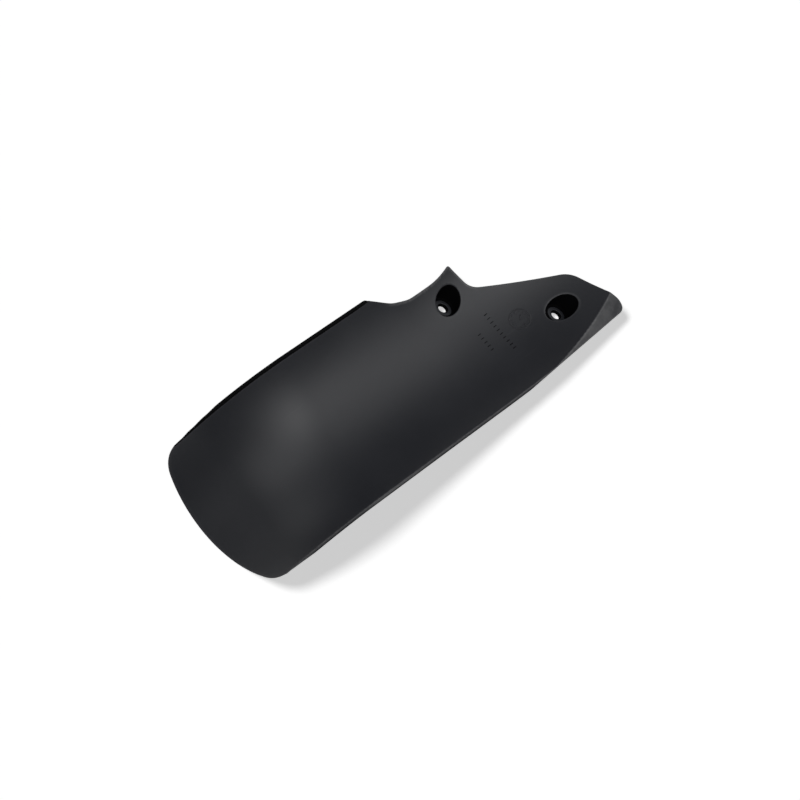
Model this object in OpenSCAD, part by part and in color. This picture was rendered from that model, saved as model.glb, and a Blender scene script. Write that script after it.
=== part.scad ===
// Rear mud flap of a dirt bike, moulded in one piece of black plastic.
// A long sheet is hollowed along its length like a trough. Its wide end bends down, its narrow end
// curves up, and two deep cups near the narrow end take the heads of the fixing bolts.
// Upper face: the hollow side, with the cup mouths. Lower face: the side that the cups stand out from.
// It lies as it comes to rest, hollow side up, on the middle of its wide end and on both cups.
// X runs from the wide end to the narrow end, Y across to the longer long edge, +Z up.
// The origin is on the surface that it lies on, under the middle of the part.

/* [Sheet] */
// Thickness of the moulded sheet
sheet_t = 2.8; // [2:0.1:4]
// Distance from the middle line to the longer long edge, straight across
longer_side = 57.3; // [54:0.1:60]
// Distance from the middle line to the shorter long edge
shorter_side = 58.4; // [56:0.1:60]
// Radius of the hollow across the sheet, on its upper face
trough_r = 90; // [85:1:110]

/* [Lengthwise shape] */
// Length of the flat stretch from the bend to the rounded wide end
end_l = 43.8; // [40:0.2:55]
// Radius of the downward bend at the wide end
bend_r = 102; // [90:1:120]
// Angle of the downward bend
bend_angle = 41; // [30:1:45]
// Length of the straight middle
middle_l = 101; // [98:1:110]
// Radius of the upward curve towards the narrow end
rise_r = 253; // [235:1:280]

/* [Edge rim] */
// Depth of the stiffening rim along the longer long edge, from the upper face
rim_h = 4.8; // [4:0.1:6]
// Width of that rim
rim_w = 2.4; // [1.8:0.1:4]

/* [Wide end outline] */
// Radius of the rounded end, seen square to the bent end
end_r = 78; // [72:1:84]
// Radius of its two corners
end_corner_r = 26; // [20:1:32]
// Offset of the middle of the rounded end towards the longer long edge
end_shift = 4; // [0:0.5:6]

/* [Narrow end outline] */
// Distance from the start of the upward curve to the end, along the narrow end's own slope
tip_l = 126; // [120:1:132]
// Slope of the plane that the narrow end's outline is cut in
tip_slope = 18; // [15:1:20]
// Distance from the end of the longer long edge to the start of the upward curve
shoulder_back = 20.4; // [16:0.2:26]
// Depth of the notch beside the first cup, from the longer long edge
notch_depth = 13.9; // [12:0.1:15]
// Distance of the pointed ear from the start of the upward curve
ear_x = 44.1; // [42:0.2:48]
// Rise of the ear's point above the notch
ear_h = 4.2; // [2:0.2:7]
// Length of the ear's outer side, down to the slanted edge
ear_side = 21.5; // [18:0.5:22]
// Width of the narrow end from the slanted edge to the folded corner
tip_w = 45.2; // [42:0.2:50]

/* [Folded corner] */
// Distance of the fold's middle along the upward curve
fold_run = 96; // [94:0.5:98]
// Distance of the fold's middle from the middle line, towards the shorter long edge
fold_across = 50.2; // [49:0.1:52]
// Slope of the folded-down corner across the flap
fold_roll = 27.4; // [24:0.2:30]
// Slope of the folded-down corner along the flap
fold_pitch = 1.9; // [0:0.1:3]

/* [Bolt cups] */
// Distance of the first cup along the upward curve
cup_1_run = 29.3; // [28:0.1:32]
// Distance of the first cup from the middle line, towards the longer long edge
cup_1_across = 27.9; // [26:0.1:29]
// Distance of the second cup along the upward curve
cup_2_run = 92.4; // [88:0.1:95]
// Distance of the second cup from the middle line, towards the shorter long edge
cup_2_across = 25.3; // [23:0.1:27]
// Inner radius of each cup, room for a flanged M6 head and its socket
cup_r = 9.3; // [8.5:0.1:10]
// Depth of the cup floor below the sheet, measured on the bolt line
cup_depth = 8.5; // [7:0.5:11]
// Thickness of the cup wall
cup_wall = 2.2; // [1.8:0.1:3]
// Thickness of the cup floor
cup_floor = 2.6; // [2:0.1:4]
// Radius of the clearance hole for an M6 bolt
bolt_hole_r = 3.3; // [3.2:0.05:3.5]
// Radius of the shallow step around the hole
step_r = 4.2; // [4:0.1:5]
// Depth of that step
step_depth = 0.6; // [0.4:0.1:1]
// Lean of the bolt lines towards the narrow end
bolt_lean = 19.8; // [15:0.1:24]
// Lean of the bolt lines towards the longer long edge
bolt_side_lean = 5.3; // [0:0.1:8]

/* [Hidden] */

plastic_colour = [0.07, 0.07, 0.075];
arc_steps = 180;

// Where the lengthwise stretches start, along X
bend_x = 95;
rise_x = bend_x + middle_l;

// Angles of the trough at the two long edges
longer_angle = asin(longer_side / trough_r);
shorter_angle = asin(shorter_side / trough_r);

// A point on the upper face of the upward curve
function on_rise(run, across) =
    let (a = run / rise_r * 180 / PI, lift = trough_r - sqrt(pow(trough_r, 2) - pow(across, 2)))
    [rise_x + (rise_r - lift) * sin(a), across, rise_r - (rise_r - lift) * cos(a)];

// Middle of each cup mouth on the upper face
cup_1 = on_rise(cup_1_run, cup_1_across);
cup_2 = on_rise(cup_2_run, -cup_2_across);
cup_reach = 30;

// Fold that turns down the corner beside the second cup: a point on it, and how far back its flat reaches
fold_point = on_rise(fold_run, -fold_across);
fold_back = 70;

// How far the outlines' cutting shapes reach past the long edges and along the flap
wide = 90;
far = 500;

// Corners of the narrow end's outline, in its sloping plane, with their rounding radii
notch_y = longer_side - notch_depth;
slant_y = notch_y + ear_h - ear_side;
corner_y = 4.4 - shorter_side;
tip_outline = [
    [-260, wide, 0],
    [-shoulder_back - 14, wide, 0],
    [-shoulder_back - 6, longer_side + 2.8, 6],
    [-shoulder_back, longer_side + 0.9, 8],
    [-shoulder_back + 14, notch_y + 4.4, 10],
    [-shoulder_back + 26, notch_y + 0.4, 14],
    [ear_x - 11.5, notch_y + 0.3, 60],
    [ear_x, notch_y + ear_h, 1.6],
    [ear_x + 4.1, slant_y, 14],
    [tip_l - 14.2, corner_y + tip_w, 20],
    [tip_l, corner_y + 7.6, 12],
    [tip_l - 1, corner_y, 4.5],
    [ear_x - 13.5, -shorter_side - 1.8, 0],
    [-36, -shorter_side - 7, 0],
    [-260, -wide, 0]
];

// The swept bodies run past both outlines: sweep of the upward curve, and length past the wide end
rise_angle = 34;
overrun = 2;

// Lying at rest: how far the flap is tipped lengthwise and sideways, where its middle is, and how much
// lower the round end sits for touching a little beside the middle line
rest_pitch = 11.63;
rest_roll = 1.68;
middle_x = 150.85;
middle_y = -0.27;
settle = 0.08;
contact_x = bend_x - bend_r * sin(bend_angle) - end_l * cos(bend_angle) + sheet_t * sin(bend_angle);
contact_z = -bend_r * (1 - cos(bend_angle)) - end_l * sin(bend_angle) - sheet_t * cos(bend_angle);
rest_lift = contact_x * sin(rest_pitch) - contact_z * cos(rest_roll) * cos(rest_pitch) - settle;

// Depth of the solid under the sheet, how much wider the hollow under it is in degrees, and the height
// of the prisms that cut the outlines
reach = 165;
side_clear = 4;
prism_h = 400;

// Points on an arc about c, after its start and up to its end
function arc_points(c, r, from, to, steps) =
    [for (i = [1 : steps]) let (a = from + (to - from) * i / steps) c + r * [cos(a), sin(a)]];

// A corner of an outline, rounded with a fine arc. p, c and n are the points before, at and after it
function unit2(v) = v / norm(v);
function corner_arc(p, c, n, r) =
    let (
        a = unit2(p - c),
        b = unit2(n - c),
        half = acos(a * b) / 2,
        set_back = r / tan(half),
        start = c + a * set_back,
        finish = c + b * set_back,
        middle = c + unit2(a + b) * (r / sin(half)),
        a0 = atan2(start[1] - middle[1], start[0] - middle[0]),
        turn_raw = atan2(finish[1] - middle[1], finish[0] - middle[0]) - a0,
        turn = turn_raw > 180 ? turn_raw - 360 : (turn_raw < -180 ? turn_raw + 360 : turn_raw),
        steps = max(2, ceil(abs(turn) / 12))
    )
    [for (i = [0 : steps]) middle + r * [cos(a0 + turn * i / steps), sin(a0 + turn * i / steps)]];

function rounded_outline(pts) =
    [for (i = [0 : len(pts) - 1])
        let (
            k = len(pts),
            c = pts[i],
            p = pts[(i + k - 1) % k],
            n = pts[(i + 1) % k]
        )
        each (c[2] == 0
            ? [[c[0], c[1]]]
            : corner_arc([p[0], p[1]], [c[0], c[1]], [n[0], n[1]], c[2]))];

// A wedge below the trough's axis, in a section across the sheet
module wedge(angle_1, angle_2, length) {
    polygon([
        [0, trough_r],
        [length * sin(angle_1), trough_r - length * cos(angle_1)],
        [length * sin(angle_2), trough_r - length * cos(angle_2)]
    ]);
}

// Everything below the upper face, as a section across the sheet
module section_below() {
    difference() {
        wedge(-shorter_angle, longer_angle, reach);
        translate([0, trough_r]) circle(r = trough_r, $fn = arc_steps);
    }
}

// The hollow under the sheet in the same section: it leaves the sheet, and the rim at one long edge
module section_hollow() {
    rim_angle = longer_angle - asin(rim_w / trough_r);
    difference() {
        wedge(-shorter_angle - side_clear, longer_angle + side_clear, reach + 10 * side_clear);
        translate([0, trough_r]) circle(r = trough_r + sheet_t, $fn = arc_steps);
        intersection() {
            translate([0, trough_r]) circle(r = trough_r + rim_h, $fn = arc_steps);
            wedge(rim_angle, longer_angle + 2 * side_clear, reach);
        }
    }
}

// A section carried along the flap: flat end, downward bend, straight middle, upward curve
module along_flap(extra) {
    translate([bend_x, 0, -bend_r]) {
        rotate([0, -bend_angle, 0]) translate([-end_l - extra, 0, bend_r])
            rotate([90, 0, 90]) linear_extrude(end_l + extra) children();
        rotate([90, 0, 0]) rotate([0, 0, 90])
            rotate_extrude(angle = bend_angle, $fn = arc_steps)
                translate([bend_r, 0]) rotate(-90) children();
    }
    translate([bend_x, 0, 0])
        rotate([90, 0, 90]) linear_extrude(middle_l) children();
    translate([rise_x, 0, rise_r])
        rotate([90, 0, 0]) rotate([0, 0, -90])
            rotate_extrude(angle = rise_angle + extra, $fn = arc_steps)
                translate([rise_r, 0]) mirror([1, 0]) rotate(-90) children();
}

// The space over the folded-down corner's flat, lowered by a depth
module above_fold(depth) {
    translate(fold_point) rotate([fold_roll, -fold_pitch, 0])
        translate([-fold_back, -reach / 2, -depth]) cube([fold_back + reach, reach, reach]);
}

// The solid under the whole upper face
module under_upper_face() {
    difference() {
        along_flap(overrun) section_below();
        above_fold(0);
    }
}

// The sheet with its rim and its folded corner, before it is cut to outline
module sheet() {
    difference() {
        under_upper_face();
        difference() {
            along_flap(2 * overrun) section_hollow();
            above_fold(sheet_t);
        }
    }
}

// The wide end's outline, cut square to the bent end: a wide arc with a rounded corner at each side
module end_outline() {
    side_1 = longer_side + 0.2;
    side_2 = shorter_side + 0.2;
    flare = 50;
    cx = bend_x * cos(bend_angle) - bend_r * sin(bend_angle) - end_l + end_r;
    y1 = side_1 - end_corner_r;
    y2 = end_corner_r - side_2;
    x1 = cx - sqrt(pow(end_r - end_corner_r, 2) - pow(y1 - end_shift, 2));
    x2 = cx - sqrt(pow(end_r - end_corner_r, 2) - pow(y2 - end_shift, 2));
    a1 = atan2(y1 - end_shift, x1 - cx);
    a2 = atan2(y2 - end_shift, x2 - cx) + 360;
    polygon(concat(
        [[far, -wide], [wide, -wide], [x2 + flare, -side_2 - side_clear]],
        arc_points([x2, y2], end_corner_r, 270, a2, 8),
        arc_points([cx, end_shift], end_r, a2, a1, 20),
        arc_points([x1, y1], end_corner_r, a1, 90, 8),
        [[x1 + flare, side_1 + side_clear], [wide, wide], [far, wide]]
    ));
}

// A point on a bolt line, at a distance above the cup's mouth, and turned to that line
module on_bolt_line(cup) {
    translate(cup) rotate([-bolt_side_lean, bolt_lean, 0]) children();
}

module cup_boss(cup) {
    on_bolt_line(cup)
        translate([0, 0, -cup_depth - cup_floor])
            cylinder(r = cup_r + cup_wall, h = cup_depth + cup_floor + cup_reach, $fn = 96);
}

module cup_hollow(cup) {
    on_bolt_line(cup) {
        translate([0, 0, -cup_depth]) cylinder(r = cup_r, h = cup_depth + cup_reach, $fn = 96);
        translate([0, 0, -cup_depth - step_depth]) cylinder(r = step_r, h = step_depth + 1, $fn = 64);
        translate([0, 0, -cup_depth - cup_floor - 1]) cylinder(r = bolt_hole_r, h = cup_floor + 2, $fn = 64);
    }
}

// The sheet cut to its two outlines
module cut_sheet() {
    intersection() {
        sheet();
        rotate([0, -bend_angle, 0]) translate([0, 0, -prism_h / 2])
            linear_extrude(prism_h) end_outline();
        translate([rise_x, 0, 0]) rotate([0, -tip_slope, 0]) translate([0, 0, -prism_h / 2])
            linear_extrude(prism_h) polygon(rounded_outline(tip_outline));
    }
}

// The cups' outsides, trimmed to the upper face
module cup_bosses() {
    intersection() {
        under_upper_face();
        union() {
            cup_boss(cup_1);
            cup_boss(cup_2);
        }
    }
}

module mud_flap() {
    color(plastic_colour)
        translate([-middle_x, -middle_y, rest_lift]) rotate([rest_roll, rest_pitch, 0])
            difference() {
                union() {
                    cut_sheet();
                    cup_bosses();
                }
                cup_hollow(cup_1);
                cup_hollow(cup_2);
            }
}

mud_flap();
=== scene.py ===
import math
import bpy
import bmesh
import numpy as np
from mathutils import Matrix, Vector


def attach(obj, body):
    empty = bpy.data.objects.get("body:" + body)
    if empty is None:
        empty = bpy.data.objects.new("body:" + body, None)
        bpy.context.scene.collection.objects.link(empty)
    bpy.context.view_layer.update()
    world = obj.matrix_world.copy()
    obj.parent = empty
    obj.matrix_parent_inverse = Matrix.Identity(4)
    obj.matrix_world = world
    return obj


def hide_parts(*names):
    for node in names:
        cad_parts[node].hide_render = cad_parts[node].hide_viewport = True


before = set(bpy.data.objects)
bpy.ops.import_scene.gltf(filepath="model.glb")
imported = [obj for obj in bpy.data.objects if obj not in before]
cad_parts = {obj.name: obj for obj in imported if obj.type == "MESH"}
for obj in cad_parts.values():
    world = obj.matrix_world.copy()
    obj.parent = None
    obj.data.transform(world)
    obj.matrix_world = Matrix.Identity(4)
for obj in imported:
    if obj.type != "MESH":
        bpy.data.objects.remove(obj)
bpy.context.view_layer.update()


# Mud flap: one sheet of black plastic, injection moulded in one go with its rim and its two bolt
# cups. It is worked out upright along its own bottom line, as points of its hollow face and of the
# same face sunk by the sheet's thickness, and then laid down to rest on its wide end and its cups.
sheet_t = 0.0028
# how far the two long edges stand out from the bottom line, and the radius of the hollow
longer_side, shorter_side, trough_r = 0.0573, 0.0584, 0.090
# the bottom line: the flat wide end, its bend, the straight run and the rise to the narrow end
end_l, bend_r, bend_turn = 0.0438, 0.102, math.radians(41)
bend_s, rise_s, rise_r = 0.095, 0.196, 0.253
flat_s = bend_s - bend_r * bend_turn
tip_tilt = math.radians(18)
# the rim under the longer long edge
rim_depth, rim_w = 0.0048, 0.0024


def turned(x_deg, y_deg):
    """A turn about X and then about Y, in degrees: the second turn's matrix times the first's."""
    a, b = math.radians(x_deg), math.radians(y_deg)
    about_x = np.array([[1, 0, 0], [0, math.cos(a), -math.sin(a)], [0, math.sin(a), math.cos(a)]])
    about_y = np.array([[math.cos(b), 0, math.sin(b)], [0, 1, 0], [-math.sin(b), 0, math.cos(b)]])
    return about_y @ about_x


# how the upright flap is turned and moved to lie as it rests
rest_turn = turned(1.68, 11.63)
rest_shift = np.array([-0.15085, 0.00027, 0.05398523])


def trough(s, q):
    """Where the hollow face is, s along its bottom line and q round its hollow, and the way it
    faces. The bottom line is flat, bends on bend_r, runs straight and rises on rise_r; round it the
    face is an arc of trough_r in the section square to that line."""
    slope = np.where(s < bend_s, np.minimum((bend_s - s) / bend_r, bend_turn), 0.0)
    slope = np.where(s > rise_s, (s - rise_s) / rise_r, slope)
    out = np.minimum(s - flat_s, 0.0)
    x = np.where(s < bend_s, bend_s - bend_r * np.sin(slope), s) + out * math.cos(bend_turn)
    z = np.where(s < bend_s, bend_r * (np.cos(slope) - 1), 0.0) + out * math.sin(bend_turn)
    x = np.where(s > rise_s, rise_s + rise_r * np.sin(slope), x)
    z = np.where(s > rise_s, rise_r * (1 - np.cos(slope)), z)
    lift = trough_r * (1 - np.cos(q / trough_r))
    point = np.stack([x - np.sin(slope) * lift, trough_r * np.sin(q / trough_r),
                      z + np.cos(slope) * lift], -1)
    facing = np.stack([-np.sin(slope) * np.cos(q / trough_r), -np.sin(q / trough_r),
                       np.cos(slope) * np.cos(q / trough_r)], -1)
    return point, facing


def round_to(y):
    """How far round the hollow a place at y across it is: the radius times the arcsine of y over
    the radius."""
    return trough_r * math.asin(y / trough_r)


# the folded corner's flat: a point of it, the way it faces, and how softly the face turns into it
fold_spot = trough(np.array(rise_s + 0.096), np.array(round_to(-0.0502)))[0]
fold_facing = turned(27.4, -1.9) @ np.array([0, 0, 1.0])
fold_soft = 0.0005
# the directions that the narrow end's and the wide end's outlines are cut along
tip_axis = np.array([-math.sin(tip_tilt), 0, math.cos(tip_tilt)])
end_axis = np.array([-math.sin(bend_turn), 0, math.cos(bend_turn)])


def face(s, q, depth):
    """The hollow face sunk by a depth, and pressed down to the folded corner's flat where it would
    stand over it: the drop is a soft maximum of nothing and the height over that flat."""
    point, facing = trough(s, q)
    point = point - facing * np.asarray(depth)[..., None]
    over = ((point - fold_spot) @ fold_facing + depth) / (tip_axis @ fold_facing)
    drop = (over + np.sqrt(over ** 2 + fold_soft ** 2)) / 2
    return point - tip_axis * drop[..., None]


# where the bend starts in the wide end's own plane, and the widest place that its formulas take
end_start = bend_s * math.cos(bend_turn) - bend_r * math.sin(bend_turn)
widest = 0.08


def along_end(w, y):
    """How far along the bottom line a point of the wide end's outline is, w along the end's plane:
    straight on the flat, and past it the arcsine of the rest over the bend's radius."""
    lift = trough_r - np.sqrt(trough_r ** 2 - y ** 2)
    slope = bend_turn - np.arcsin((w - end_start) / (bend_r + lift))
    return np.where(w < end_start, flat_s + w - end_start, bend_s - bend_r * slope)


def along_tip(u, y):
    """The same for the narrow end's outline, u along its sloping plane from the start of the rise:
    straight before it, and past it the arcsine of the rest over what is left of its radius."""
    lift = trough_r - np.sqrt(trough_r ** 2 - np.minimum(np.abs(y), widest) ** 2)
    past_middle = (u - rise_r * math.sin(tip_tilt)) / (rise_r - lift)
    slope = tip_tilt + np.arcsin(np.clip(past_middle, -1, 1))
    straight = rise_s + (u - lift * math.sin(tip_tilt)) / math.cos(tip_tilt)
    return np.where(slope > 0, rise_s + rise_r * slope, straight)


def arc(cx, cy, r, from_deg, to_deg, count):
    """Points round an arc, as (x, y) rows: its middle and the radius times the angle's cosine and
    sine."""
    a = np.radians(np.linspace(from_deg, to_deg, count))
    return np.stack([cx + r * np.cos(a), cy + r * np.sin(a)], -1)


def rounded(corners):
    """A line through corners (x, y, radius), each one an arc that touches both of its sides."""
    arc_points = 60
    made = []
    for p, c, n in zip(corners[:-2], corners[1:-1], corners[2:]):
        p, r, c, n = np.array(p[:2]), c[2], np.array(c[:2]), np.array(n[:2])
        a, b = (p - c) / np.linalg.norm(p - c), (n - c) / np.linalg.norm(n - c)
        half = math.acos(a @ b) / 2
        middle = c + (a + b) / np.linalg.norm(a + b) * r / math.sin(half)
        start, stop = c + a * r / math.tan(half) - middle, c + b * r / math.tan(half) - middle
        a0 = math.degrees(math.atan2(start[1], start[0]))
        turn = (math.degrees(math.atan2(stop[1], stop[0])) - a0 + 180) % 360 - 180
        made.append(arc(middle[0], middle[1], r, a0, a0 + turn, arc_points))
    return np.concatenate(made)


def walked(line, step):
    """A line as points at an even step, read off its length so far."""
    gone = np.concatenate([[0], np.cumsum(np.linalg.norm(np.diff(line, axis=0), axis=1))])
    stops = np.linspace(0, gone[-1], max(2, int(round(gone[-1] / step)) + 1))
    return np.stack([np.interp(stops, gone, line[:, k]) for k in range(2)], -1)


def eased(values, reach, step):
    """A closed ring of values, each one averaged with its neighbours under a bell of that reach."""
    k = np.fft.fftfreq(len(values), step) * 2 * math.pi
    bell = np.exp(-(k * reach) ** 2 / 2)
    bell = bell if values.ndim == 1 else bell[:, None]
    return np.fft.ifft(np.fft.fft(values, axis=0) * bell, axis=0).real


# the wide end's outline in its own plane: a wide arc between two rounded corners, which reach a
# hair past the long edges and are trimmed there
end_r, end_corner_r, end_shift, past_side = 0.078, 0.026, 0.004, 0.0002
end_x = end_start - end_l + end_r
far_y, near_y = longer_side + past_side - end_corner_r, end_corner_r - shorter_side - past_side
far_x = end_x - math.sqrt((end_r - end_corner_r) ** 2 - (far_y - end_shift) ** 2)
near_x = end_x - math.sqrt((end_r - end_corner_r) ** 2 - (near_y - end_shift) ** 2)
far_turn = math.degrees(math.atan2(far_y - end_shift, far_x - end_x))
near_turn = math.degrees(math.atan2(near_y - end_shift, near_x - end_x)) + 360
end_line = np.concatenate([arc(near_x, near_y, end_corner_r, 270, near_turn, 80),
                           arc(end_x, end_shift, end_r, near_turn, far_turn, 200)[1:],
                           arc(far_x, far_y, end_corner_r, far_turn, 90, 80)[1:]])
end_line[:, 0] = along_end(end_line[:, 0], end_line[:, 1])

# the narrow end's outline in its plane, each corner as its place along and across and its radius:
# shoulder, notch, ear, slanted edge, end, folded corner, and where the shorter long edge draws in
fine = 0.0001
notch_y, corner_y = longer_side - 0.0139, 0.0044 - shorter_side
slant_end, fold_corner = (0.1118, corner_y + 0.0452), (0.125, corner_y)
draw_in, draw_in_y = 0.0306, shorter_side + 0.0018
tip_line = rounded([(-0.0264, longer_side + 0.0028, 0), (-0.0204, longer_side + 0.0009, 0.008),
                    (-0.0064, notch_y + 0.0044, 0.010), (0.0056, notch_y + 0.0004, 0.014),
                    (0.0326, notch_y + 0.0003, 0.060), (0.0441, notch_y + 0.0042, 0.0016),
                    (0.0482, notch_y - 0.0173, 0.014), (*slant_end, 0.020),
                    (0.12598, corner_y + 0.0076, 0.012), (*fold_corner, 0.0045),
                    (draw_in, -draw_in_y, 0)])
tip_line = np.concatenate([tip_line, [[draw_in, -draw_in_y], [-0.036, -shorter_side - 0.007]]])
tip_line = walked(tip_line, fine)
tip_line[:, 0] = along_tip(tip_line[:, 0], tip_line[:, 1])

# both outlines as one closed ring of places on the face, (s, q), trimmed at the two long edges
ring = np.concatenate([end_line, tip_line])
ring = walked(np.concatenate([ring, ring[:1]]), fine)[:-1]
ring[:, 1] = np.clip(ring[:, 1], -shorter_side, longer_side)
on_long_edge = ring[:, 1] > longer_side - 1e-6
on_side = on_long_edge | (ring[:, 1] < -shorter_side + 1e-6)
ring[:, 1] = trough_r * np.arcsin(ring[:, 1] / trough_r)
near_q, far_q = ring[:, 1].min(), ring[:, 1].max()

# its corners eased, those of the shoulder and of the notch beside it more than the rest
corner_ease, shoulder_ease = 0.0003, 0.0022
shoulder_s, shoulder_reach, shoulder_q = rise_s - 0.007, 0.018, 0.035
ring = eased(ring - ring.mean(0), corner_ease, fine) + ring.mean(0)
by_shoulder = (ring[:, 1] > shoulder_q) & (np.abs(ring[:, 0] - shoulder_s) < shoulder_reach)
by_shoulder = eased(by_shoulder.astype(float), 0.002, fine)[:, None]
softer = eased(ring - ring.mean(0), shoulder_ease, fine) + ring.mean(0)
ring = ring * (1 - by_shoulder) + softer * by_shoulder

# the way inward at each of its points
along = np.roll(ring, -1, 0) - np.roll(ring, 1, 0)
along = eased(along / np.linalg.norm(along, axis=1)[:, None], 0.0002, fine)
inward = np.stack([along[:, 1], -along[:, 0]], -1) / np.linalg.norm(along, axis=1)[:, None]

# how far the outline moves over the face for each unit of depth, because the ends' walls are cut
# along their axes and not square to the sheet
ring_facing = trough(ring[:, 0], ring[:, 1])[1]
on_wide_end = ring[:, :1] < bend_s
cut_axis = np.where(on_side[:, None], ring_facing, np.where(on_wide_end, end_axis, tip_axis))
cut_axis = eased(cut_axis, 0.0008, fine)
lean = ring_facing - cut_axis / (cut_axis * ring_facing).sum(-1)[:, None]
slope_way = np.stack([ring_facing[:, 2], 0 * ring_facing[:, 0], -ring_facing[:, 0]], -1)
slope_way /= np.linalg.norm(slope_way, axis=1)[:, None]
round_way = np.cross(ring_facing, slope_way)
lean = np.stack([(lean * slope_way).sum(-1), (lean * round_way).sum(-1)], -1)

# 1 along the rim and 0 elsewhere, and the share of its full width that the strip round the edge
# has: less at the narrow end, where the outline turns sharply
rim = eased(on_long_edge.astype(float), 0.0012, fine)
narrow_collar = 0.3
before_tip = eased((ring[:, 0] < rise_s - 0.035).astype(float), 0.004, fine)
collar = narrow_collar + (1 - narrow_collar) * before_tip


def nearest(s, q):
    """The ring's point nearest to a place on the face, as its number."""
    return int(np.argmin((ring[:, 0] - s) ** 2 + (ring[:, 1] - q) ** 2))


def run(start, stop, steps):
    """Numbers along the ring from one point to another: the first one and, for each step, that
    share of the way on to the other."""
    return (start + (stop - start) % len(ring) * steps) % len(ring)


def ring_at(values, numbers):
    """Values of the ring at fractional numbers, read between its points."""
    low = np.floor(numbers).astype(int) % len(ring)
    part = numbers - np.floor(numbers)
    part = part if values.ndim == 1 else part[:, None]
    return values[low] * (1 - part) + values[(low + 1) % len(ring)] * part


# the face's grid has four corners on the ring: the middles of the wide end's two rounded corners,
# the end of the slanted edge and the folded corner's tip
cells_along, cells_across = 350, 72
corner_middle = 0.0185
near_end = nearest(along_end(near_x - corner_middle, near_y), round_to(near_y - corner_middle))
far_end = nearest(along_end(far_x - corner_middle, far_y), round_to(far_y + corner_middle))
far_tip = nearest(along_tip(*np.array(slant_end)), round_to(slant_end[1]))
near_tip = nearest(along_tip(*np.array(fold_corner)), round_to(fold_corner[1]))

# the far side's cells are half as long from just before the shoulder on
even = np.linspace(0, 1, cells_across + 1)
wide_side = run(near_end, far_end, even)
tip_side = run(far_tip, near_tip, even[::-1])
long_cell, short_cell = 0.0015, 0.00075
span = (far_tip - far_end) % len(ring)
numbers = (far_end + np.arange(span + 1)) % len(ring)
weight = np.cumsum(1 / np.where(ring[numbers, 0] < rise_s - 0.03, long_cell, short_cell))
weight = (weight - weight[0]) / (weight[-1] - weight[0])
steps = np.interp(np.linspace(0, 1, cells_along + 1), weight, np.arange(span + 1))
far_side = (far_end + steps) % len(ring)

# the near side's points lie opposite the far side's, eased so that no two lines across meet
bell_cells = 30
far_s = ring_at(ring, far_side)[:, 0]
bell = np.exp(-np.linspace(-2.5, 2.5, 2 * bell_cells + 1) ** 2 / 2)
grown = np.pad(far_s, bell_cells, mode="reflect", reflect_type="odd")
grown = np.convolve(grown, bell / bell.sum(), "valid")
grown = np.maximum.accumulate(grown + np.arange(len(grown)) * 1e-5)
grown = (grown - grown[0]) / (grown[-1] - grown[0])
span = (near_end - near_tip) % len(ring)
numbers = (near_tip + np.arange(span + 1)) % len(ring)
near_s = np.maximum.accumulate(ring[numbers, 0][::-1])
want = near_s[0] + (near_s[-1] - near_s[0]) * grown
steps = np.interp(want, near_s + np.arange(len(near_s)) * 1e-9, np.arange(span + 1))
near_side = (near_end - steps) % len(ring)

loop = np.concatenate([wide_side[:-1], far_side[:-1], tip_side[::-1][:-1], near_side[::-1][:-1]])
loop_ring, loop_in, loop_lean = ring_at(ring, loop), ring_at(inward, loop), ring_at(lean, loop)
loop_rim, loop_collar = ring_at(rim, loop), ring_at(collar, loop)

# the wide end's corners widen into the long edges from here, over this length and at this slope,
# and the shorter long edge slopes this much before and after the place where it draws in
far_flare_s, near_flare_s, flare_l, flare = 0.0121, 0.0193, 0.05, 0.08
slope_before, slope_after = 0.078, 0.0657


def edge_place(gap, depth):
    """Where the loop's points lie on the face at a gap inside the edge and a depth below it: each
    one moves by its lean times the depth, is kept between the long edges' walls, whose places round
    the hollow shrink as its radius grows, and then moves inward by the gap."""
    depth = np.broadcast_to(depth, loop.shape)
    s, q = (loop_ring + loop_lean * depth[:, None]).T
    lift = trough_r * (1 - np.cos(q / trough_r))
    risen = (rise_r - lift) * np.sin((s - rise_s) / rise_r - tip_tilt) + rise_r * math.sin(tip_tilt)
    straight = (s - rise_s) * math.cos(tip_tilt) + lift * math.sin(tip_tilt)
    u = np.where(s > rise_s, risen, straight)
    far_wall = longer_side + past_side + flare * np.clip(s - far_flare_s, 0, flare_l)
    near_wall = shorter_side + past_side + flare * np.clip(s - near_flare_s, 0, flare_l)
    drawn_in = draw_in_y + (draw_in - u) * np.where(u > draw_in, slope_after, slope_before)
    near_wall = np.minimum(near_wall, drawn_in)
    far_wall = np.minimum(far_q, trough_r * np.arcsin(far_wall / (trough_r + depth)))
    near_wall = np.maximum(near_q, -trough_r * np.arcsin(near_wall / (trough_r + depth)))
    pushed = np.stack([s, np.clip(q, near_wall, far_wall)], -1)
    return pushed + loop_in * np.reshape(gap, (-1, 1))


def edge_row(gap, depth):
    """The same as points of the flap."""
    depth = np.broadcast_to(depth, loop.shape)
    place = edge_place(gap, depth)
    return face(place[:, 0], place[:, 1], depth)


edge_round, strip_w = 0.0004, 0.0036


def gap_of(width):
    """A width inside the edge, drawn in by the collar's share past the edge's rounding."""
    return edge_round + (width - edge_round) * loop_collar


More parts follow.
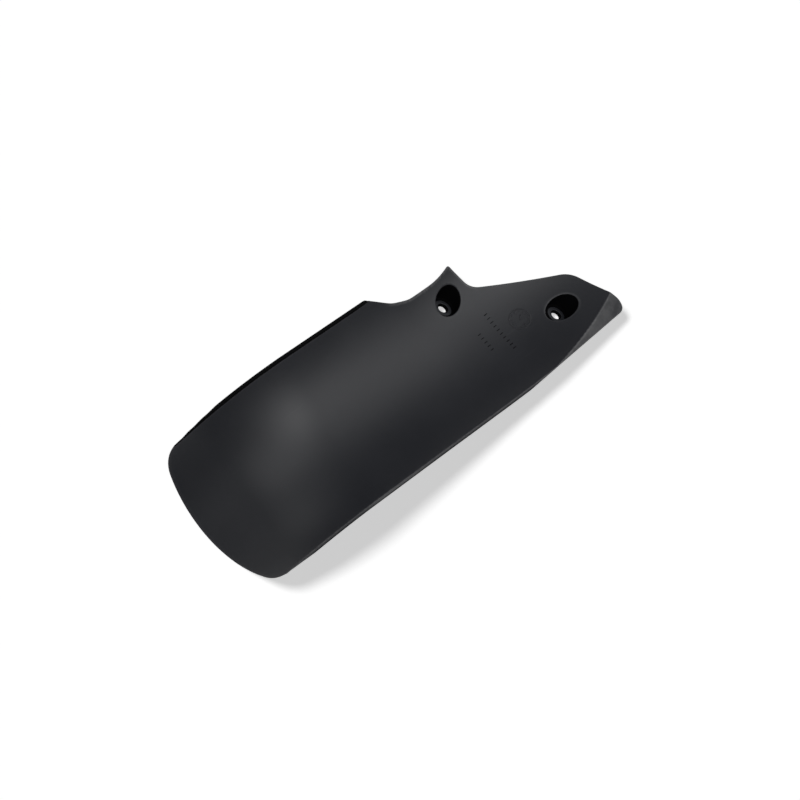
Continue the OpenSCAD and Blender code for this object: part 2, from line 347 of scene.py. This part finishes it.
# the strip round the edge, row by row: the upper face, the upper edge's rounding, the outer wall,
# the lower edge's rounding, the rim's foot, its inner wall and the lower face
edge_depth = sheet_t + (rim_depth - sheet_t) * loop_rim
corner, thirds = np.radians(np.linspace(0, 90, 5)), (0.33, 0.67)
rows = [edge_row(gap_of(w), 0.0) for w in (strip_w, 0.0022, 0.0010)]
rows += [edge_row(edge_round * (1 - math.sin(a)), edge_round * (1 - math.cos(a))) for a in corner]
rows += [edge_row(0.0, edge_round + (edge_depth - 2 * edge_round) * h) for h in thirds]
rows += [edge_row(edge_round * (1 - math.cos(a)), edge_depth - edge_round * (1 - math.sin(a)))
         for a in corner]
rows += [edge_row(gap_of(w), sheet_t + (edge_depth - sheet_t) * h)
         for w, h in ((0.0010, 1), (rim_w - 0.0005, 1), (rim_w - 0.0001, 0.85), (rim_w, 0.2),
                      (rim_w + 0.0004, 0), (strip_w, 0))]
edge_strip = np.array(rows)


def patch(border):
    """A grid inside a loop of four sides: the two pairs of sides, each carried across evenly, are
    added, and the grid that its four corners alone would give is taken away."""
    a, b = cells_across, cells_along
    left, far = border[:a + 1], border[a:a + b + 1]
    right = border[a + b:2 * a + b + 1][::-1]
    near = np.concatenate([border[2 * a + b:], border[:1]])[::-1]
    u, v = np.linspace(0, 1, b + 1)[:, None, None], np.linspace(0, 1, a + 1)[None, :, None]
    corners = (1 - u) * (1 - v) * near[0] + u * (1 - v) * near[-1]
    corners = corners + (1 - u) * v * far[0] + u * v * far[-1]
    across = (1 - v) * near[:, None] + v * far[:, None]
    return across + (1 - u) * left[None] + u * right[None] - corners


upper_grid = patch(edge_place(gap_of(strip_w), 0.0 * loop))
lower_grid = patch(edge_place(gap_of(strip_w), sheet_t + 0.0 * loop))

# the bolt cups: each is one profile carried round the bolt's line, from the hollow face down the
# cup, through the bolt hole and back over the outside of the cup to the lower face
cup_r, cup_depth, cup_wall, cup_floor = 0.0093, 0.0085, 0.0022, 0.0026
hole_r, step_r, step_depth = 0.0033, 0.0042, 0.0006
mouth_round, foot_round, hole_round = 0.0009, 0.0008, 0.0002
mouth_turns, foot_turns = np.radians([20, 40, 60, 80, 90]), np.radians([30, 60, 90])
under_soft, wall_rise = 0.0004, 0.00002
bolt_turn = turned(-5.3, 19.8)


def bolt_middle(spot):
    """The middle of a cup's mouth on the hollow face."""
    return face(np.array(spot[0]), np.array(round_to(spot[1])), 0.0)


def off_bolt_line(spot, x, y, depth):
    """Where on the face, sunk by a depth, the points are that lie at x and y across the bolt's
    line, and how high they are along it: the place on the face is stepped by what is missing until
    nothing is, for which 16 steps are enough."""
    s, q = spot[0] + x, round_to(spot[1]) + y
    for _ in range(16):
        seen = (face(s, q, depth + 0 * s) - bolt_middle(spot)) @ bolt_turn
        s, q = s + x - seen[..., 0], q + y - seen[..., 1]
    return s, q, seen[..., 2]


def block_border(grid, i0, i1, j0, j1):
    """The grid's points round a block of its cells, once round."""
    return np.concatenate([grid[i0:i1, j0], grid[i1, j0:j1],
                           grid[i1:i0:-1, j1], grid[i0, j1:j0:-1]])


def cup_strip(spot, upper_block, lower_block):
    """The rows of one cup, each row once round it, from the upper grid's block to the lower grid's.
    The first and last rows are the blocks' own borders, the rows next to them pass evenly into a
    circle, and every other row is a circle about the bolt's line, or lies on the sheet there."""
    middle = bolt_middle(spot)
    upper = block_border(upper_grid, *upper_block)
    lower = block_border(lower_grid, *lower_block)
    upper = (face(upper[:, 0], upper[:, 1], 0 * upper[:, 0]) - middle) @ bolt_turn
    lower = (face(lower[:, 0], lower[:, 1], sheet_t + 0 * lower[:, 0]) - middle) @ bolt_turn
    even = 2 * math.pi * np.arange(len(upper)) / len(upper)
    angle = even + eased(np.unwrap(np.arctan2(upper[:, 1], upper[:, 0])) - even, 3, 1)
    round_x, round_y = np.cos(angle), np.sin(angle)
    outer_r, top_r, under_z = cup_r + cup_wall, cup_r + mouth_round, -cup_floor - cup_depth
    made = [upper]

    def sheet_at(r, depth):
        """How high the sheet is along the bolt's line, all round it at a radius."""
        return off_bolt_line(spot, r * round_x, r * round_y, depth)[2]

    def circle(r, z):
        """Adds a row round the bolt's line, at a radius and a height along it."""
        made.append(np.stack([r * round_x, r * round_y, z + 0 * angle], -1))

    def under_circle(r, z):
        """The same, but kept below the lower face by a soft minimum of the two heights."""
        z_sheet = sheet_at(r, sheet_t)
        circle(r, (z + z_sheet - np.sqrt((z - z_sheet) ** 2 + under_soft ** 2)) / 2)

    # the hollow face, drawn in from the block to the mouth's circle, and the mouth's rounding
    for h in (0.2, 0.4, 0.58, 0.74, 0.86, 0.94, 1.0):
        x = upper[:, 0] * (1 - h) + top_r * round_x * h
        y = upper[:, 1] * (1 - h) + top_r * round_y * h
        made.append(np.stack([x, y, off_bolt_line(spot, x, y, 0.0)[2]], -1))
    for a in mouth_turns:
        r = cup_r + mouth_round * (1 - math.sin(a))
        circle(r, sheet_at(r, 0.0) - mouth_round * (1 - math.cos(a)))
    # the wall, the rounding at its foot, the floor, the step, the hole and the underside
    brink = sheet_at(cup_r, 0.0) - mouth_round
    for h in (*thirds, 1.0):
        circle(cup_r, brink * (1 - h) + (foot_round - cup_depth) * h)
    for a in foot_turns:
        circle(cup_r - foot_round * (1 - math.cos(a)), foot_round * (1 - math.sin(a)) - cup_depth)
    for r, z in ((0.0068, 0), (0.0048, 0), (step_r + hole_round, 0),
                 (step_r + 0.3 * hole_round, -0.3 * hole_round), (step_r, -hole_round),
                 (step_r, hole_round - step_depth), (step_r - hole_round, -step_depth),
                 (hole_r + hole_round, -step_depth),
                 (hole_r + 0.3 * hole_round, -0.3 * hole_round - step_depth),
                 (hole_r, -hole_round - step_depth), (hole_r, hole_round - cup_floor),
                 (hole_r + hole_round, -cup_floor)):
        circle(r, z - cup_depth)
    for r in (0.006, 0.0085, outer_r - foot_round):
        under_circle(r, under_z)
    for a in foot_turns:
        r = outer_r - foot_round * (1 - math.sin(a))
        under_circle(r, under_z + foot_round * (1 - math.cos(a)))
    # the outside of the wall, up to the lower face, and out over that face to its block
    top = made[-1][:, 2]
    under = np.maximum(sheet_at(outer_r, sheet_t) - foot_round, top)
    for h in (*thirds, 1.0):
        circle(outer_r, top * (1 - h) + under * h + wall_rise * h)
    for a in foot_turns:
        r = outer_r + foot_round * (1 - math.cos(a))
        z_sheet = sheet_at(r, sheet_t)
        circle(r, np.minimum(np.maximum(z_sheet - foot_round * (1 - math.sin(a)), under), z_sheet))
    r = outer_r + foot_round
    for h in (0.2, 0.45, 0.72):
        x = r * round_x * (1 - h) + lower[:, 0] * h
        y = r * round_y * (1 - h) + lower[:, 1] * h
        made.append(np.stack([x, y, off_bolt_line(spot, x, y, sheet_t)[2]], -1))
    made.append(lower)
    return np.array(made) @ bolt_turn.T + middle


def block_round(spot, grid, depth, cells):
    """The block of a grid's cells that reaches some cells back, on, in and out from the point
    nearest to the bolt's line."""
    s, q, _ = off_bolt_line(spot, np.zeros(1), np.zeros(1), depth)
    i, j = np.unravel_index(np.argmin(((grid - [s[0], q[0]]) ** 2).sum(-1)), grid.shape[:2])
    return int(i - cells[0]), int(i + cells[1]), int(j - cells[2]), int(j + cells[3])


# where the cups are, along the face's bottom line and across it, and the cells that each one takes
cup_spots = ((rise_s + 0.0293, 0.0279), (rise_s + 0.0924, -0.0253))
cup_cells = ((20, 22, 17, 12), (26, 28, 18, 22))
upper_blocks = [block_round(spot, upper_grid, 0.0, cells)
                for spot, cells in zip(cup_spots, cup_cells)]
lower_blocks = [block_round(spot, lower_grid, sheet_t, cells)
                for spot, cells in zip(cup_spots, cup_cells)]
cup_strips = [cup_strip(*each) for each in zip(cup_spots, upper_blocks, lower_blocks)]

# the mould's plain marks, raised a hair from the hollow face: a dial with twelve ticks and a
# pointer, and two rows of tally bars across the flap
mark_h, mark_foot, mark_slope, mark_w = 0.0003, 0.00015, 0.00014, 0.0009
dial_s, dial_q, dial_r, dial_points = 0.2598, -0.0131, 0.0077, 72
tick_count, tick_w, tick_inside, pointer_l, pointer_off = 12, 0.0007, 0.0005, 0.0042, 0.0011
tally_counts, tally_s, tally_q = (10, 5), (0.2423, 0.2291), (0.0046, -0.0044)
tally_apart, tally_l, tally_w = 0.0036, 0.0028, 0.00062


def raised_bars(s, q, turn, long, wide):
    """Low blocks on the hollow face: each a rectangle about (s, q), turned in the face's own plane,
    its top drawn in all round and its foot sunk in the sheet. Gives their points and quads."""
    signs = np.array([[-1, -1], [1, -1], [1, 1], [-1, 1]])[None]
    half = np.stack([long, wide], -1)[:, None] / 2
    spread = np.concatenate([signs * half, signs * (half - mark_slope)], 1)
    c, k = np.cos(turn)[:, None], np.sin(turn)[:, None]
    s = s[:, None] + spread[..., 0] * c - spread[..., 1] * k
    q = q[:, None] + spread[..., 0] * k + spread[..., 1] * c
    depth = np.repeat([mark_foot, -mark_h], 4)[None] + 0 * s
    block = np.array([[4, 5, 6, 7], [3, 2, 1, 0], [0, 1, 5, 4],
                      [1, 2, 6, 5], [2, 3, 7, 6], [3, 0, 4, 7]])
    quads = block + 8 * np.arange(len(s))[:, None, None]
    return face(s, q, depth).reshape(-1, 3), quads.reshape(-1, 4)


def raised_ring(s, q, r, around):
    """A low ring on the hollow face about (s, q), as rows once round: outer foot, outer top, inner
    top, inner foot and the outer foot again."""
    a = 2 * math.pi * np.arange(around) / around
    rows_r = r + np.array([1, 1, -1, -1, 1]) * mark_w / 2 - np.array([0, 1, -1, 0, 0]) * mark_slope
    depth = np.array([mark_foot, -mark_h, -mark_h, mark_foot, mark_foot])[:, None] + 0 * a
    return face(s + rows_r[:, None] * np.cos(a), q + rows_r[:, None] * np.sin(a), depth)


tick = 2 * math.pi * np.arange(tick_count) / tick_count
tick_long = np.where(np.arange(tick_count) % 3 == 0, 0.0022, 0.0013)
tick_r = dial_r - mark_w / 2 - tick_inside - tick_long / 2
row_s = np.repeat(tally_s, tally_counts)
row_q = np.concatenate([start - tally_apart * np.arange(count)
                        for start, count in zip(tally_q, tally_counts)])
mark_points, mark_quads = raised_bars(
    np.concatenate([dial_s + tick_r * np.cos(tick), [dial_s + pointer_off], row_s]),
    np.concatenate([dial_q + tick_r * np.sin(tick), [dial_q + pointer_off], row_q]),
    np.concatenate([tick, [math.radians(45)], 0 * row_q]),
    np.concatenate([tick_long, [pointer_l], tally_l + 0 * row_q]),
    np.concatenate([0 * tick + tick_w, [mark_w], tally_w + 0 * row_q]))
dial_ring = raised_ring(dial_s, dial_q, dial_r, dial_points)
on_tally = np.arange(len(mark_quads)) >= 6 * (tick_count + 1)


def strip_faces(start, count, around):
    """Quads of rows that run once round, as vertex numbers."""
    row, col = np.meshgrid(np.arange(count - 1), np.arange(around), indexing="ij")
    a = start + row * around
    after = (col + 1) % around
    return np.stack([a + col, a + after, a + around + after, a + around + col], -1).reshape(-1, 4)


def grid_faces(start, blocks):
    """Quads of the face's grid without the cups' blocks, as vertex numbers."""
    i, j = np.meshgrid(np.arange(cells_along), np.arange(cells_across), indexing="ij")
    kept = np.ones(i.shape, bool)
    for i0, i1, j0, j1 in blocks:
        kept[i0:i1, j0:j1] = False
    a = start + i[kept] * (cells_across + 1) + j[kept]
    return np.stack([a, a + cells_across + 1, a + cells_across + 2, a + 1], -1)


# the upper and the lower face, with how much painted highlight each point has: only the upper
# face's border beside the ear has some, a painted light band
upper_points = face(upper_grid[..., 0], upper_grid[..., 1], 0 * upper_grid[..., 0]).reshape(-1, 3)
lower_points = face(lower_grid[..., 0], lower_grid[..., 1],
                    sheet_t + 0 * lower_grid[..., 0]).reshape(-1, 3)
ear_s, ear_reach, ear_q = rise_s + 0.02, 0.032, 0.02
by_ear = (loop_ring[:, 1] > ear_q) & (np.abs(loop_ring[:, 0] - ear_s) < ear_reach)
by_ear = eased(by_ear.astype(float), 4, 1)
upper_ear_highlight = np.zeros(upper_grid.shape[:2])
upper_ear_highlight[:, -1] = 2.4 * by_ear[cells_across:cells_across + cells_along + 1]
points, wear_and_highlight = [upper_points, lower_points], [upper_ear_highlight.reshape(-1), np.zeros(len(lower_points))]
quads = [grid_faces(0, upper_blocks), grid_faces(len(upper_points), lower_blocks)[:, ::-1]]
# flags for the faces that take the second material, the painted shade; none on the two face grids
painted_shade = [np.zeros(len(q), bool) for q in quads]

# the strip's edge wear and painted highlight, row by row: up to 1 on its two rounded edges, none on
# the upper one of the far long edge, and more, as painted highlight, beside the ear and along the
# near long edge
row_wear_and_highlight = np.array([0, 0.1, 0.4, 0.8, 1, 1, 0.7, 0.3, 0, 0, 0, 0.4, 1, 0.8, 0.2, 0, 0, 0, 0, 0, 0])
ear_highlight = np.array([2.4, 2.8, 3, 3, 2.5, 2])[:, None] * by_ear
on_near_side = np.arange(len(loop)) > 2 * cells_across + cells_along
near_long = on_near_side & (loop_ring[:, 1] < 0) & (loop_ring[:, 0] > flat_s)
near_long = eased(near_long.astype(float), 4, 1)
near_edge_highlight = np.array([0.4, 1.0, 2.2, 2.2, 1.0, 0.4])[:, None] * near_long
strip_wear_and_highlight = np.repeat(row_wear_and_highlight[:, None], len(loop), 1)
strip_wear_and_highlight[:6] = np.maximum(strip_wear_and_highlight[:6], ear_highlight)
strip_wear_and_highlight[3:9] = strip_wear_and_highlight[3:9] * (1 - loop_rim * (loop_ring[:, 1] > 0)) + near_edge_highlight

# the strip's faces painted with shade, near black and without gloss: the far long edge's outer
# wall, the wide end's and its far corner's, and the lower part of the near side's
on_far, on_rim = loop_ring[:, 1] > 0, loop_rim > 0.5
strip_painted_shade = np.zeros((len(edge_strip) - 1, len(loop)), bool)
strip_painted_shade[2:10] = on_far & on_rim
strip_painted_shade[5:12] |= np.arange(len(loop)) < cells_across
strip_painted_shade[5:12] |= on_far & (loop_ring[:, 0] < bend_s) & ~on_rim
strip_painted_shade[9:12] |= loop_ring[:, 1] < 0

# each cup is worn on its mouth's rounding; its wall and those of its step and hole are painted
# shade
cup_row = np.arange(len(cup_strips[0]))
cup_worn = np.zeros(len(cup_row))
cup_worn[6:11] = 0.2, 0.6, 0.8, 0.6, 0.2
cup_painted_shade = ((cup_row >= 10) & (cup_row < 19)) | ((cup_row >= 23) & (cup_row < 30))
strips = [(edge_strip, strip_wear_and_highlight, strip_painted_shade)]
strips += [(cup, np.repeat(cup_worn, cup.shape[1]), np.repeat(cup_painted_shade[:-1], cup.shape[1]))
           for cup in cup_strips]
strips += [(dial_ring, np.zeros(5 * dial_points), np.zeros(4 * dial_points, bool))]
for strip, strip_wear_and_highlight, strip_painted_shade in strips:
    quads.append(strip_faces(sum(len(p) for p in points), strip.shape[0], strip.shape[1]))
    points.append(strip.reshape(-1, 3))
    wear_and_highlight.append(strip_wear_and_highlight.reshape(-1))
    painted_shade.append(strip_painted_shade.reshape(-1))
quads.append(mark_quads + sum(len(p) for p in points))
points.append(mark_points)
wear_and_highlight.append(np.zeros(len(mark_points)))
# the tally bars take the painted shade too, darker than the face around them
painted_shade.append(on_tally)


join_within, fold_lift, fold_fade = 2e-6, 0.0001, 0.00025


def joined(points, wear_and_highlight, quads, painted_shade):
    """A mesh of the flap at rest, its parts joined where their points meet, with two numbers at
    each point: how much edge wear and painted edge highlight it has, or 0 away from the edges, and
    the folded corner's painted highlight, 1 on it and falling evenly to 0 over fold_fade off its
    flat."""
    used, quads = np.unique(quads, return_inverse=True)
    points, wear_and_highlight = points[used], wear_and_highlight[used]
    made = bpy.data.meshes.new("flap_shell")
    made.from_pydata(points @ rest_turn.T + rest_shift, [], quads.reshape(-1, 4).tolist())
    made.attributes.new("edge", "FLOAT", "POINT").data.foreach_set("value", wear_and_highlight)
    off_fold = np.abs((points - fold_spot) @ fold_facing + fold_lift)
    folded = np.clip(1 - off_fold / fold_fade, 0, 1) * (points[:, 0] > rise_s + 0.04)
    made.attributes.new("folded", "FLOAT", "POINT").data.foreach_set("value", folded)
    # flagged faces take the second material, the painted shade
    made.polygons.foreach_set("material_index", painted_shade.astype(np.int32))
    work = bmesh.new()
    work.from_mesh(made)
    bmesh.ops.remove_doubles(work, verts=work.verts, dist=join_within)
    work.to_mesh(made)
    work.free()
    made.polygons.foreach_set("use_smooth", np.ones(len(made.polygons), bool))
    return made


flap_mesh = joined(*[np.concatenate(each) for each in (points, wear_and_highlight, quads, painted_shade)])
flap = bpy.data.objects.new("flap_shell", flap_mesh)
bpy.context.scene.collection.objects.link(flap)


def plastic_look():
    """What both blacks share, as a group. Colour: two noises, one of broad flow and one of grain,
    mix it from dark to light, and it is paler on scuffs, on edges, where wear and painted highlight
    are mixed, and on the folded corner, where the paleness is a painted highlight. Scuffs: two
    noises, each stretched along one line and cut to its highest few hundredths. Roughness: the
    level given, uneven by the same two noises, and more where it is pale. Height: two scales of
    grain, less the scuffs."""
    made = bpy.data.node_groups.new("plastic_look", "ShaderNodeTree")
    for name, way, kind in (("Dark", "INPUT", "Color"), ("Light", "INPUT", "Color"),
                            ("Level", "INPUT", "Float"), ("Colour", "OUTPUT", "Color"),
                            ("Roughness", "OUTPUT", "Float"), ("Height", "OUTPUT", "Float")):
        made.interface.new_socket(name, in_out=way, socket_type="NodeSocket" + kind)
    nodes, links = made.nodes, made.links
    given, result = nodes.new("NodeGroupInput"), nodes.new("NodeGroupOutput")
    place = nodes.new("ShaderNodeTexCoord")

    def noise(scale, detail, stretch=None):
        """A noise with so many grains to the metre; stretch turns it in degrees, then scales it."""
        made_noise = nodes.new("ShaderNodeTexNoise")
        made_noise.inputs["Scale"].default_value = scale
        made_noise.inputs["Detail"].default_value = detail
        if stretch is None:
            links.new(place.outputs["Object"], made_noise.inputs["Vector"])
        else:
            turned_place = nodes.new("ShaderNodeMapping")
            turned_place.inputs["Rotation"].default_value = (0, 0, math.radians(stretch[0]))
            turned_place.inputs["Scale"].default_value = (stretch[1], 1, 1)
            links.new(place.outputs["Object"], turned_place.inputs["Vector"])
            links.new(turned_place.outputs["Vector"], made_noise.inputs["Vector"])
        return made_noise.outputs["Fac"]

    def math_node(kind, a, b, clamp=False):
        """One step of arithmetic on two numbers or sockets."""
        made_math = nodes.new("ShaderNodeMath")
        made_math.operation = kind
        made_math.use_clamp = clamp
        for socket, value in zip(made_math.inputs, (a, b)):
            if isinstance(value, (int, float)):
                socket.default_value = value
            else:
                links.new(value, socket)
        return made_math.outputs[0]

    def ramp(value, low, high, to_low, to_high):
        """A value carried from one range to another along a straight line, and held at its ends."""
        made_ramp = nodes.new("ShaderNodeMapRange")
        for name, number in (("From Min", low), ("From Max", high),
                             ("To Min", to_low), ("To Max", to_high)):
            made_ramp.inputs[name].default_value = number
        links.new(value, made_ramp.inputs["Value"])
        return made_ramp.outputs["Result"]

    def attribute(name):
        """A number that the mesh has at each of its points."""
        made_attribute = nodes.new("ShaderNodeAttribute")
        made_attribute.attribute_name = name
        return made_attribute.outputs["Fac"]

    def mixed(factor, a, b):
        """Two colours mixed; the second one may be plain numbers."""
        made_mix = nodes.new("ShaderNodeMix")
        made_mix.data_type = "RGBA"
        links.new(factor, made_mix.inputs["Factor"])
        links.new(a, made_mix.inputs["A"])
        if isinstance(b, tuple):
            made_mix.inputs["B"].default_value = b
        else:
            links.new(b, made_mix.inputs["B"])
        return made_mix.outputs["Result"]

    flow, grain, pits = noise(18, 3), noise(900, 3), noise(2600, 2)
    scuffs = math_node("ADD", ramp(noise(260, 4, (35, 0.05)), 0.68, 0.74, 0, 1),
                       ramp(noise(320, 4, (-62, 0.06)), 0.70, 0.76, 0, 1), True)
    scuffs = math_node("MULTIPLY", scuffs, ramp(noise(30, 2), 0.45, 0.62, 0.05, 1))
    # edges are paled by wear and painted highlight together, varied by a noise
    edge_wear_and_highlight = math_node("MULTIPLY", attribute("edge"), ramp(noise(420, 4), 0.38, 0.62, 0.5, 1))
    # the folded corner is paled as a painted highlight, varied by a noise
    fold_light = math_node("MULTIPLY", attribute("folded"), ramp(noise(140, 5), 0.35, 0.65, 0.35, 1))
    scuff_pale, edge_pale, fold_light_pale, pale_grey = 0.04, 0.25, 0.85, (0.125, 0.125, 0.128, 1)
    pale = math_node("ADD", math_node("MULTIPLY", scuffs, scuff_pale),
                     math_node("MULTIPLY", edge_wear_and_highlight, edge_pale))
    pale = math_node("ADD", pale, math_node("MULTIPLY", fold_light, fold_light_pale), True)

    tone = math_node("ADD", ramp(flow, 0.3, 0.7, 0.0, 0.6), ramp(grain, 0.3, 0.7, 0.0, 0.4))
    plain = mixed(tone, given.outputs["Dark"], given.outputs["Light"])
    links.new(mixed(pale, plain, pale_grey), result.inputs["Colour"])

    uneven = math_node("ADD", ramp(flow, 0.3, 0.7, -0.03, 0.03), ramp(grain, 0.3, 0.7, -0.02, 0.03))
    gloss = math_node("ADD", math_node("ADD", given.outputs["Level"], uneven),
                      math_node("MULTIPLY", pale, 0.12))
    links.new(gloss, result.inputs["Roughness"])

    height = math_node("ADD", math_node("MULTIPLY", grain, 0.6), math_node("MULTIPLY", pits, 0.4))
    height = math_node("SUBTRACT", height, math_node("MULTIPLY", scuffs, 0.1))
    links.new(height, result.inputs["Height"])
    return made


shared_look = plastic_look()


def moulded_black(name, dark, light, gloss_level, rough):
    """Black plastic with the shared look: its own dark and light tones, its gloss on the shader's
    own socket, and its roughness."""
    made = bpy.data.materials.new(name)
    made.use_nodes = True
    nodes, links = made.node_tree.nodes, made.node_tree.links
    shader = nodes["Principled BSDF"]
    shader.inputs["Specular IOR Level"].default_value = gloss_level
    look = nodes.new("ShaderNodeGroup")
    look.node_tree = shared_look
    look.inputs["Dark"].default_value = (*dark, 1)
    look.inputs["Light"].default_value = (*light, 1)
    look.inputs["Level"].default_value = rough
    bump = nodes.new("ShaderNodeBump")
    bump.inputs["Strength"].default_value = 0.25
    bump.inputs["Distance"].default_value = 0.0001
    links.new(look.outputs["Colour"], shader.inputs["Base Color"])
    links.new(look.outputs["Roughness"], shader.inputs["Roughness"])
    links.new(look.outputs["Height"], bump.inputs["Height"])
    links.new(bump.outputs["Normal"], shader.inputs["Normal"])
    return made


satin_black = moulded_black("satin_black", (0.0140, 0.0150, 0.0190), (0.0192, 0.0205, 0.0252),
                            gloss_level=0.5, rough=0.46)
# the second black is the same plastic painted nearly black and nearly without gloss: painted shade
# for faces that lie in shade
painted_shade_black = moulded_black("painted_shade_black", (0.0015, 0.0015, 0.0018), (0.003, 0.003, 0.0034),
                           gloss_level=0.03, rough=0.8)
flap.data.materials.append(satin_black)
flap.data.materials.append(painted_shade_black)
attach(flap, "root")
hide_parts("mud_flap")


# Floor: a plain white sheet that the flap lies on. The camera sees it lifted to white, with the
# flap's soft shadow left on it.
floor_reach, floor_tone, floor_lift = 6.0, 0.9, 0.58


def white_floor(lift, tone):
    """Diffuse white, and on rays from the camera, from gloss and through glass a plain glow added
    that lifts it to white."""
    made = bpy.data.materials.new("white_floor")
    made.use_nodes = True
    nodes, links = made.node_tree.nodes, made.node_tree.links
    nodes.clear()
    out = nodes.new("ShaderNodeOutputMaterial")
    diffuse = nodes.new("ShaderNodeBsdfDiffuse")
    diffuse.inputs["Color"].default_value = (tone, tone, tone, 1)
    glow = nodes.new("ShaderNodeEmission")
    glow.inputs["Color"].default_value = (1, 1, 1, 1)
    rays = nodes.new("ShaderNodeLightPath")
    seen = rays.outputs["Is Camera Ray"]
    for kind in ("Is Glossy Ray", "Is Transmission Ray"):
        either = nodes.new("ShaderNodeMath")
        either.operation = "MAXIMUM"
        links.new(seen, either.inputs[0])
        links.new(rays.outputs[kind], either.inputs[1])
        seen = either.outputs[0]
    scale = nodes.new("ShaderNodeMath")
    scale.operation = "MULTIPLY"
    scale.inputs[1].default_value = lift
    links.new(seen, scale.inputs[0])
    links.new(scale.outputs[0], glow.inputs["Strength"])
    both = nodes.new("ShaderNodeAddShader")
    links.new(diffuse.outputs[0], both.inputs[0])
    links.new(glow.outputs[0], both.inputs[1])
    links.new(both.outputs[0], out.inputs["Surface"])
    return made


floor_mesh = bpy.data.meshes.new("floor")
floor_corners = floor_reach * np.array([[-1, -1, 0], [1, -1, 0], [1, 1, 0], [-1, 1, 0]])
floor_mesh.from_pydata(floor_corners, [], [(0, 1, 2, 3)])
floor = bpy.data.objects.new("floor", floor_mesh)
bpy.context.scene.collection.objects.link(floor)
floor_mesh.materials.append(white_floor(floor_lift, floor_tone))


# Light: five broad soft lamps in a ring and overhead light the flap, the strongest over its near
# side, with a dim sky. One far lamp behind the far edge lights the floor alone and draws the flap's
# shadow on it.
lamp_size, lamp_far, lamp_aim = 0.9, 1.7, Vector((0, 0, 0.03))


def toward(round_deg, up_deg):
    """The direction from the flap to a lamp: round from +X and up from the floor, in degrees."""
    a, e = math.radians(round_deg), math.radians(up_deg)
    return Vector((math.cos(a) * math.cos(e), math.sin(a) * math.cos(e), math.sin(e)))


def lit_only(lamp, piece):
    """Keeps a lamp's light to one piece; everything still throws its shadow."""
    kept = bpy.data.collections.new(lamp.name + "_lights")
    kept.objects.link(piece)
    lamp.light_linking.receiver_collection = kept


def soft_lamp(name, round_deg, up_deg, watts):
    """A square lamp turned to the flap, at one distance from it."""
    data = bpy.data.lights.new(name, "AREA")
    data.shape = "SQUARE"
    data.size = lamp_size
    data.energy = watts
    place = lamp_far * toward(round_deg, up_deg)
    lamp = bpy.data.objects.new(name, data)
    lamp.location = place
    lamp.rotation_euler = (lamp_aim - place).to_track_quat("-Z", "Y").to_euler()
    bpy.context.scene.collection.objects.link(lamp)
    lit_only(lamp, flap)


soft_lamp("near_lamp", 300, 62, 9.2)
soft_lamp("top_lamp", 0, 89, 3.4)
soft_lamp("narrow_end_lamp", 0, 36, 6.6)
soft_lamp("wide_end_lamp", 180, 62, 4.5)
soft_lamp("far_lamp", 120, 36, 2.9)

shadow_data = bpy.data.lights.new("shadow_lamp", "SUN")
shadow_data.energy = 1.54
shadow_data.angle = math.radians(13)
shadow_lamp = bpy.data.objects.new("shadow_lamp", shadow_data)
shadow_lamp.rotation_euler = (-toward(132, 66)).to_track_quat("-Z", "Y").to_euler()
bpy.context.scene.collection.objects.link(shadow_lamp)
lit_only(shadow_lamp, floor)

sky_light, sky_seen = 0.03, 1.0
sky = bpy.data.worlds.new("pale_sky")
bpy.context.scene.world = sky
sky.use_nodes = True
sky_nodes, sky_links = sky.node_tree.nodes, sky.node_tree.links
sky_back = sky_nodes["Background"]
sky_back.inputs["Color"].default_value = (1, 1, 1, 1)
sky_rays = sky_nodes.new("ShaderNodeLightPath")
sky_mix = sky_nodes.new("ShaderNodeMapRange")
sky_mix.inputs["To Min"].default_value = sky_light
sky_mix.inputs["To Max"].default_value = sky_seen
sky_links.new(sky_rays.outputs["Is Camera Ray"], sky_mix.inputs["Value"])
sky_links.new(sky_mix.outputs["Result"], sky_back.inputs["Strength"])


# Camera: above the flap and a little to the wide end's side, tilted as the photograph is.
camera_data = bpy.data.cameras.new("camera")
camera_data.sensor_width = 36
camera_data.lens = 86.049
camera = bpy.data.objects.new("camera", camera_data)
eye = Vector((-0.303271, -0.213094, 1.304139))
right = Vector((0.774082, -0.627946, 0.080507))
up = Vector((0.591940, 0.762992, 0.259711))
back = right.cross(up)
turn = Matrix((right, up, back)).transposed().to_4x4()
camera.matrix_world = Matrix.Translation(eye) @ turn
bpy.context.scene.collection.objects.link(camera)
bpy.context.scene.camera = camera

bpy.context.scene.view_settings.view_transform = "Standard"
